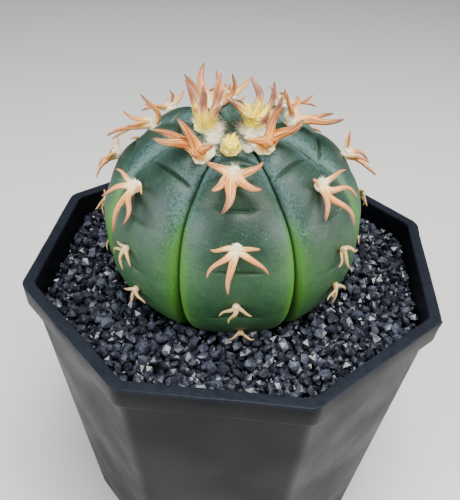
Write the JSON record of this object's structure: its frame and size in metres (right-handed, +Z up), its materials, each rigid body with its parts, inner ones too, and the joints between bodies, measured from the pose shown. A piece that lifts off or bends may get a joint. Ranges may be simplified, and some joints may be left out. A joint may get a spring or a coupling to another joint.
{
  "type": "potted round cactus",
  "caption": "Round ribbed cactus with star-shaped spine clusters, rooted in an octagonal plastic pot filled with soil under a dark grit top dressing.",
  "frame": {"origin": "middle of the pot's foot, on the plane that it stands on", "axes": "+Z up through the plant; the pot's flats face X and Y; the fullest spine stars face -Y"},
  "size_m": [0.1, 0.1, 0.131],
  "materials": {
    "pot_plastic": "satin black moulded plastic",
    "soil": "dark crumbly potting soil",
    "grit": "glossy black angular grit",
    "stem_skin": "waxy grey-green skin with pale bloom",
    "spine_horn": "peach to orange horny spines on cream wool"
  },
  "bodies": {
    "root": {"grit_top_dressing": "grit", "pot": "pot_plastic", "potting_soil": "soil", "spines_back_1": "spine_horn", "spines_back_2": "spine_horn", "spines_back_3": "spine_horn", "spines_back_4": "spine_horn", "spines_back_left_1": "spine_horn", "spines_back_left_2": "spine_horn", "spines_back_left_3": "spine_horn", "spines_back_left_4": "spine_horn", "spines_back_right_1": "spine_horn", "spines_back_right_2": "spine_horn", "spines_back_right_3": "spine_horn", "spines_back_right_4": "spine_horn", "spines_front_1": "spine_horn", "spines_front_2": "spine_horn", "spines_front_3": "spine_horn", "spines_front_4": "spine_horn", "spines_front_5": "spine_horn", "spines_front_left_1": "spine_horn", "spines_front_left_2": "spine_horn", "spines_front_left_3": "spine_horn", "spines_front_left_4": "spine_horn", "spines_front_right_1": "spine_horn", "spines_front_right_2": "spine_horn", "spines_front_right_3": "spine_horn", "spines_front_right_4": "spine_horn", "spines_left_1": "spine_horn", "spines_left_2": "spine_horn", "spines_left_3": "spine_horn", "spines_left_4": "spine_horn", "spines_left_5": "spine_horn", "spines_right_1": "spine_horn", "spines_right_2": "spine_horn", "spines_right_3": "spine_horn", "spines_right_4": "spine_horn", "spines_right_5": "spine_horn", "stem": "stem_skin"}
  },
  "joints": []
}
